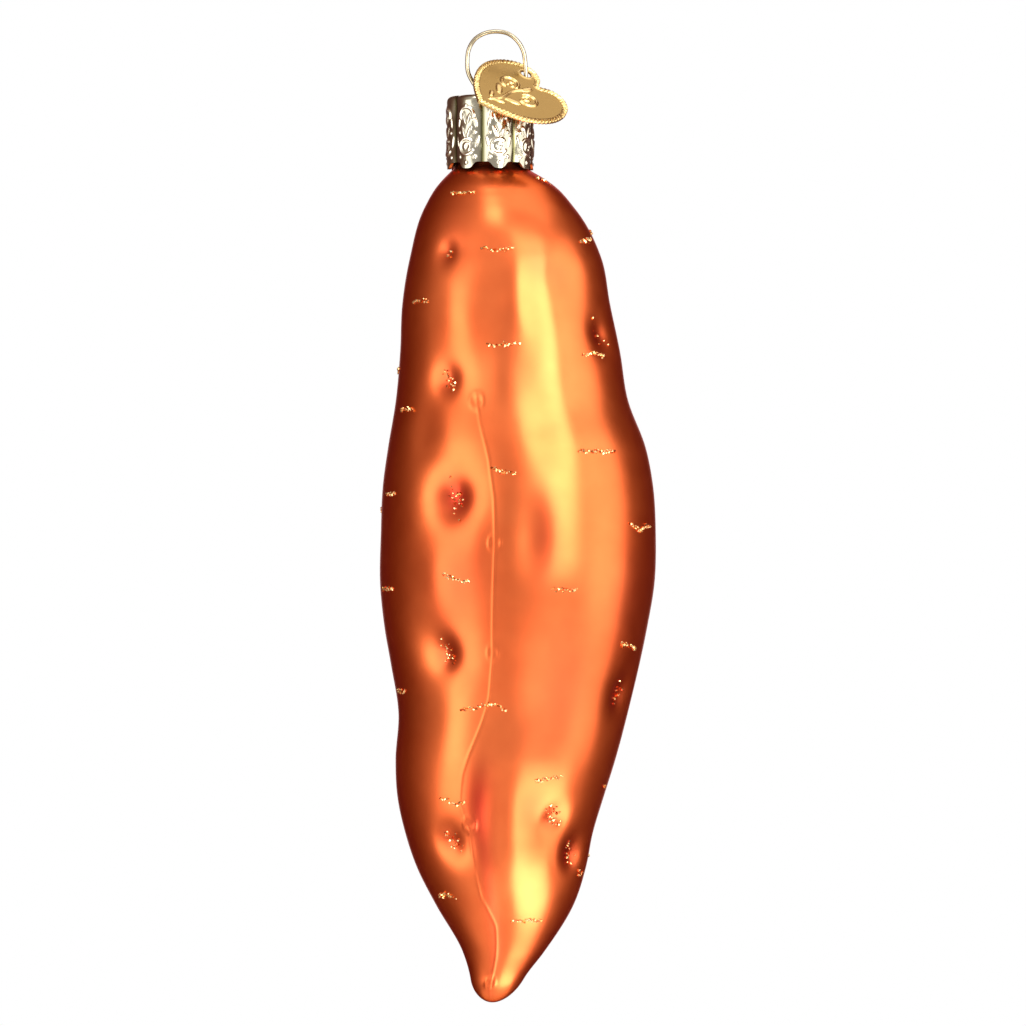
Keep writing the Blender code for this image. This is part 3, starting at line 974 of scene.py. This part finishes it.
def make_cap():
    """The stamped crown cap, open below, with two holes for the wire in its top."""
    angles = np.linspace(0.0, 360.0, CAP_COLUMNS, endpoint=False)
    outer = cap_skin(angles, 0.0, *CAP_ROWS)
    inner = cap_skin(angles, CAP_SHEET, *CAP_INNER_ROWS)
    work = bmesh.new()
    rings = [[work.verts.new(point) for point in ring] for ring in outer + inner[::-1]]
    for first, second in zip(rings, rings[1:]):
        join_rings(work, first, second)
    holes = {level: [hole_ring(work, side, level) for side in (-1, 1)]
             for level in (CAP_TOP_Z, CAP_TOP_Z - CAP_SHEET)}
    for ring, level in ((rings[0], CAP_TOP_Z), (rings[-1], CAP_TOP_Z - CAP_SHEET)):
        edges = ring_edges(work, ring)
        for hole in holes[level]:
            edges += ring_edges(work, hole)
        bmesh.ops.triangle_fill(work, edges=edges, use_beauty=True)
    for upper, lower in zip(*holes.values()):
        join_rings(work, upper, lower)
    metal = stamped_metal("champagne_cap", CAP_COLOUR, CAP_PAINTED_SHADE, roughness=0.16)
    cap = finish_bmesh("cap_skin", work, metal)
    # Painted shade in the cap's low ground and grooves.
    add_attribute(cap, "painted_recess_shade", cap_painted_shade(cap.data))
    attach(cap, "ornament")
    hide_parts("cap")


def cap_painted_shade(mesh):
    """How much painted shade each point of the cap gets: the ground between its raised ornament, and
    its grooves.
    """
    places = np.array([vert.co for vert in mesh.vertices])
    angles = np.degrees(np.arctan2(places[:, 0] - NECK_X, -places[:, 1]))
    raised = cap_relief(angles, places[:, 2])
    low = 1.0 - np.clip(raised / CAP_LOW_RELIEF, 0.0, 1.0)
    groove = bell(panel_share(angles), GROOVE_SHADE_WIDTH)
    return np.clip(CAP_LOW_SHADE * low + GROOVE_SHADE * groove, 0.0, 1.0)


# ---- the hanger wire ----


def make_wire():
    """The bent wire: a loop above the cap and two feet that spread inside the neck."""
    curve = bpy.data.curves.new("hanger_wire_loop", "CURVE")
    curve.dimensions = "3D"
    curve.bevel_depth = WIRE_RADIUS
    curve.bevel_resolution = WIRE_SMOOTHNESS
    curve.use_fill_caps = True
    spline = curve.splines.new("POLY")
    route = route_through(WIRE_ROUTE, WIRE_STEP)
    spline.points.add(len(route) - 1)
    for point, (x, z) in zip(spline.points, route):
        point.co = (x, 0.0, z, 1.0)
    curve.materials.append(wire_material())
    wire = place_object("hanger_wire_loop", curve)
    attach(wire, "ornament")
    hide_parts("hanger_wire")


# ---- the heart tag ----


def heart_outline():
    """The heart's outline from its notch down one side to the point and up the other."""
    segments = len(HEART_HALF) - 1
    places = np.linspace(0.0, segments, segments * HEART_EDGE_STEPS + 1)
    columns = np.array(HEART_HALF).T
    half = np.stack([smooth_curve(range(segments + 1), column, places) for column in columns], axis=1)
    other_half = half[-2:0:-1] * (-1.0, 1.0)
    return np.concatenate([half, other_half])


def inside_outline(places, outline):
    """Whether each place is inside a closed outline."""
    x, y = places[:, :1], places[:, 1:]
    ahead = np.roll(outline, -1, axis=0)
    between = (outline[:, 1] > y) != (ahead[:, 1] > y)
    rise = np.where(ahead[:, 1] == outline[:, 1], 1.0, ahead[:, 1] - outline[:, 1])
    crossing = outline[:, 0] + (y - outline[:, 1]) / rise * (ahead[:, 0] - outline[:, 0])
    return (between & (x < crossing)).sum(axis=1) % 2 == 1


def tag_triangles(outline):
    """Points over the heart's face, outside its hole, and the triangles between them."""
    turns = np.linspace(0.0, 2 * math.pi, HOLE_SIDES, endpoint=False)
    hole = np.array(TAG_HOLE) + TAG_HOLE_RADIUS * np.stack([np.cos(turns), np.sin(turns)], axis=1)
    low, high = outline.min(axis=0), outline.max(axis=0)
    x, y = (np.arange(start, end, TAG_STEP) for start, end in zip(low, high))
    grid = np.stack(np.meshgrid(x, y), axis=-1).reshape(-1, 2)
    grid[:, 0] += TAG_STEP / 2 * (np.round((grid[:, 1] - low[1]) / TAG_STEP) % 2)
    from_edge = np.linalg.norm(grid[:, None] - outline[None], axis=2).min(axis=1)
    from_hole = np.linalg.norm(grid - TAG_HOLE, axis=1)
    kept = inside_outline(grid, outline) & (from_edge > TAG_CLEARANCE)
    kept &= from_hole > TAG_HOLE_RADIUS + TAG_CLEARANCE
    places = np.concatenate([outline, hole, grid[kept]])
    count = len(outline)
    rims = [(i, (i + 1) % count) for i in range(count)]
    rims += [(count + i, count + (i + 1) % HOLE_SIDES) for i in range(HOLE_SIDES)]
    result = delaunay_2d_cdt([Vector(place) for place in places], rims, [], 0, MERGE_DISTANCE)
    spots = np.array(result[0])
    triangles = np.array(result[2])
    middles = spots[triangles].mean(axis=1)
    hole_edge = TAG_HOLE_RADIUS * HOLE_CHORD_SHARE
    past_hole = np.linalg.norm(middles - TAG_HOLE, axis=1) > hole_edge
    return spots, triangles[inside_outline(middles, outline) & past_hole]


def rope_height(spots, outline):
    """The rope border: a raised twisted line just inside the edge."""
    lengths = np.linalg.norm(np.roll(outline, -1, axis=0) - outline, axis=1)
    along = np.concatenate([[0.0], np.cumsum(lengths)[:-1]])
    away = np.linalg.norm(spots[:, None] - outline[None], axis=2)
    nearest = away.argmin(axis=1)
    inset = away.min(axis=1) - ROPE_INSET
    round_section = np.sqrt(np.clip(1.0 - (inset / ROPE_HALF_WIDTH) ** 2, 0.0, 1.0))
    twist = np.cos(math.pi * ROPE_TWISTS * (along[nearest] + inset) / lengths.sum()) ** 2
    return ROPE_HEIGHT * round_section * (ROPE_VALLEY + (1.0 - ROPE_VALLEY) * twist)


def sprig_height(spots):
    """The raised sprig: a swaying stem, its leaves and its curled tendrils."""
    total = np.zeros(len(spots))
    for x, y, length, width, tilt in SPRIG_LEAVES:
        leaf = leaf_height(spots[:, 0] - x, spots[:, 1] - y, length, width, tilt, SPRIG_HEIGHT)
        total = np.maximum(total, leaf)
    for x, y, radius, first, last in SPRIG_CURLS:
        across, up = spots[:, 0] - x, spots[:, 1] - y
        curl = arc_height(across, up, radius, first, last, SPRIG_HEIGHT, SPRIG_STROKE)
        total = np.maximum(total, curl)
    bottom, top = SPRIG_STEM
    past = np.clip(np.maximum(bottom - spots[:, 1], spots[:, 1] - top), 0.0, None)
    sway = STEM_SWAY * np.sin((spots[:, 1] - top) * STEM_WAVE)
    stem = SPRIG_HEIGHT * bell(np.hypot(spots[:, 0] - sway, past), SPRIG_STROKE)
    return np.maximum(total, stem)


def make_tag():
    """The brass heart with its rope border and its sprig, on the wire at its hole."""
    outline = heart_outline()
    spots, triangles = tag_triangles(outline)
    from_hole = np.linalg.norm(spots - TAG_HOLE, axis=1)
    eyelet = EYELET_HEIGHT * bell(from_hole - EYELET_RADIUS, SPRIG_STROKE)
    rope = np.maximum(rope_height(spots, outline), eyelet)
    sprig = sprig_height(spots)
    front = np.column_stack([spots - TAG_HOLE, TAG_SHEET / 2 + np.maximum(rope, sprig)])
    back = np.column_stack([spots - TAG_HOLE, -TAG_SHEET / 2 - rope])
    count = len(spots)
    work = bmesh.new()
    verts = [work.verts.new(point) for point in np.concatenate([front, back])]
    for a, b, c in triangles.tolist():
        work.faces.new((verts[a], verts[b], verts[c]))
        work.faces.new((verts[count + c], verts[count + b], verts[count + a]))
    work.edges.ensure_lookup_table()
    work.verts.index_update()
    rims = [edge for edge in work.edges if edge.is_boundary and edge.verts[0].index < count]
    for edge in rims:
        first, second = (vert.index for vert in edge.verts)
        work.faces.new((verts[first], verts[second], verts[count + second], verts[count + first]))
    metal = stamped_metal("satin_brass", BRASS_COLOUR, BRASS_PAINTED_SHADE, roughness=0.28)
    tag = finish_bmesh("heart_tag_plate", work, metal)
    # Painted shade on the tag's ground, low between its rope, eyelet and sprig.
    low = 1.0 - np.clip(np.maximum(rope, sprig) / TAG_LOW_RELIEF, 0.0, 1.0)
    add_attribute(tag, "painted_recess_shade", TAG_LOW_SHADE * np.concatenate([low, low]))
    across = -TAG_POINT.cross(TAG_FACE).normalized()
    upward = TAG_FACE.normalized().cross(across)
    turn = Matrix((across, upward, TAG_FACE.normalized())).transposed()
    tag.data.transform(Matrix.Translation(TAG_HINGE) @ turn.to_4x4())
    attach(tag, "tag")
    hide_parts("heart_tag")


# ---- the scene ----

CAMERA_LENS = 225.6  # millimetres, as its sensor
CAMERA_SENSOR = 36.0
CAMERA_PLACE = (0.0023, -0.9, -0.0671)
BODY_MIDDLE = (0.0, 0.0, -0.068)
FLOOR_Z = -0.40
FLOOR_RADIUS = 0.25
FLOOR_SIDES = 96
FLOOR_COLOUR = (0.9, 0.9, 0.9, 1.0)
FLOOR_ROUGHNESS = 0.8
# The studio's colour from straight behind, 0, to straight in front, 1.
STUDIO_COLOURS = (
    (0.00, (0.17, 0.08, 0.065)),
    (0.25, (0.15, 0.07, 0.055)),
    (0.45, (0.27, 0.155, 0.11)),
    (0.62, (0.60, 0.50, 0.44)),
    (0.80, (0.85, 0.80, 0.76)),
    (0.92, (0.80, 0.75, 0.72)),
    (1.00, (0.60, 0.56, 0.55)),
)
# The soft boxes: (name, degrees round from the front, degrees up, distance, (width, height),
# brightness).
SOFTBOXES = (
    ("front_right", 33, 17, 0.8, (0.40, 0.58), 5.8),
    ("side_right", 76, 6, 0.8, (0.54, 0.84), 1.9),
    ("front_left", -50, -4, 0.8, (0.54, 0.86), 2.1),
    ("low_right", 42, -49, 0.36, (0.33, 0.23), 5.4),
    ("top_front", -14, 58, 0.8, (0.34, 0.40), 3.2),
    ("overhead", 110, 68, 0.8, (0.80, 0.60), 1.1),
    ("behind", 180, 8, 0.9, (0.50, 0.80), 1.2),
)


def make_camera():
    """A level camera in front, far off, so that the picture is nearly without perspective."""
    camera = bpy.data.cameras.new("camera")
    camera.lens = CAMERA_LENS
    camera.sensor_width = CAMERA_SENSOR
    holder = place_object("camera", camera)
    holder.location = CAMERA_PLACE
    holder.rotation_euler = (math.pi / 2, 0.0, 0.0)
    bpy.context.scene.camera = holder


def add_softbox(name, azimuth, elevation, distance, size, brightness):
    """A rectangular light that faces the middle of the ornament."""
    light = bpy.data.lights.new(name, "AREA")
    light.shape = "RECTANGLE"
    light.size, light.size_y = size
    light.energy = brightness * math.pi * size[0] * size[1]
    holder = place_object(name, light)
    turn, lift = math.radians(azimuth), math.radians(elevation)
    level = math.cos(lift)
    away = Vector((level * math.sin(turn), -level * math.cos(turn), math.sin(lift)))
    holder.location = Vector(BODY_MIDDLE) + distance * away
    holder.rotation_euler = (-away).to_track_quat("-Z", "Y").to_euler()
    holder.visible_camera = False


def make_world():
    """White for the camera. For reflections, a studio that is pale in front and dark behind."""
    world = bpy.data.worlds.new("studio")
    world.use_nodes = True
    tree = world.node_tree
    tree.nodes.clear()
    path = add_node(tree, "ShaderNodeLightPath")
    white = add_node(tree, "ShaderNodeBackground", Strength=1.0)
    white.inputs["Color"].default_value = (1.0, 1.0, 1.0, 1.0)
    place = add_node(tree, "ShaderNodeTexCoord")
    parts = add_node(tree, "ShaderNodeSeparateXYZ")
    tree.links.new(place.outputs["Generated"], parts.inputs["Vector"])
    forward = add_node(tree, "ShaderNodeMapRange", From_Min=1.0, From_Max=-1.0)
    tree.links.new(parts.outputs["Y"], forward.inputs["Value"])
    ramp = add_ramp(tree, forward.outputs["Result"], STUDIO_COLOURS[0][1], STUDIO_COLOURS[-1][1])
    for place_on_ramp, colour in STUDIO_COLOURS[1:-1]:
        ramp.color_ramp.elements.new(place_on_ramp).color = (*colour, 1.0)
    studio = add_node(tree, "ShaderNodeBackground")
    tree.links.new(ramp.outputs["Color"], studio.inputs["Color"])
    mix = add_node(tree, "ShaderNodeMixShader")
    output = add_node(tree, "ShaderNodeOutputWorld")
    tree.links.new(path.outputs["Is Camera Ray"], mix.inputs["Fac"])
    tree.links.new(studio.outputs["Background"], mix.inputs[1])
    tree.links.new(white.outputs["Background"], mix.inputs[2])
    tree.links.new(mix.outputs["Shader"], output.inputs["Surface"])
    bpy.context.scene.world = world


def make_floor():
    """A pale round floor well below the ornament."""
    turns = np.linspace(0.0, 2 * math.pi, FLOOR_SIDES, endpoint=False)
    x, y = FLOOR_RADIUS * np.cos(turns), FLOOR_RADIUS * np.sin(turns)
    ring = np.stack([x, y, np.full(FLOOR_SIDES, FLOOR_Z)], axis=1)
    material, _, shader = new_material("pale_floor")
    shader.inputs["Base Color"].default_value = FLOOR_COLOUR
    shader.inputs["Roughness"].default_value = FLOOR_ROUGHNESS
    add_object("floor", ring, [tuple(range(FLOOR_SIDES))], material, smooth=False)


def make_lights():
    """The soft boxes round the ornament."""
    for softbox in SOFTBOXES:
        add_softbox(*softbox)


bpy.context.scene.view_settings.view_transform = "Standard"
make_glass_body()
make_glitter()
make_cap()
make_wire()
make_tag()
make_camera()
make_world()
make_floor()
make_lights()
